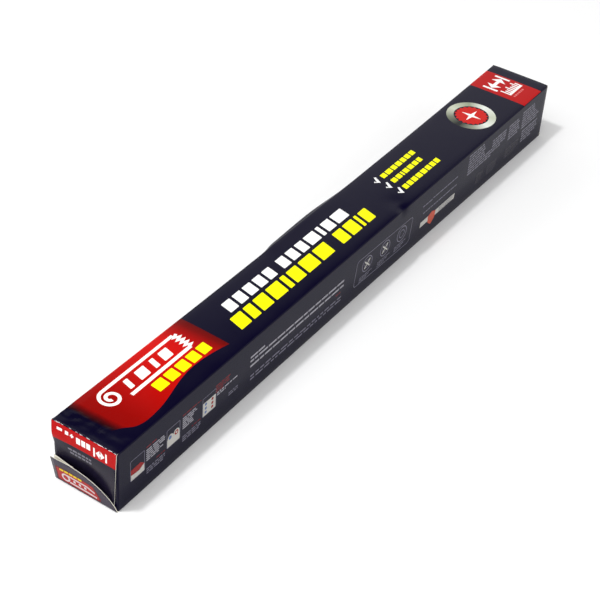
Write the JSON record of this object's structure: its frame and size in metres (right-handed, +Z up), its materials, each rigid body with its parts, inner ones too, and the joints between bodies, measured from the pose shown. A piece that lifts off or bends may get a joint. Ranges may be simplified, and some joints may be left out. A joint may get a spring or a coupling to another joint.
{
  "type": "sealed aluminium foil carton",
  "caption": "Sealed card carton that a roll of kitchen foil is sold in: long square box, glued end flaps, one lower flap standing off.",
  "frame": {"origin": "centre of the bottom panel, on the surface that the carton stands on", "axes": "+X along the carton, away from the end whose lower flap stands off; +Y towards the side with the lid lap; +Z up out of the top panel"},
  "size_m": [0.4638, 0.044, 0.041],
  "materials": {
    "printed_card": "gloss varnish over print"
  },
  "bodies": {
    "root": {"foil_carton": "printed_card"}
  },
  "joints": []
}
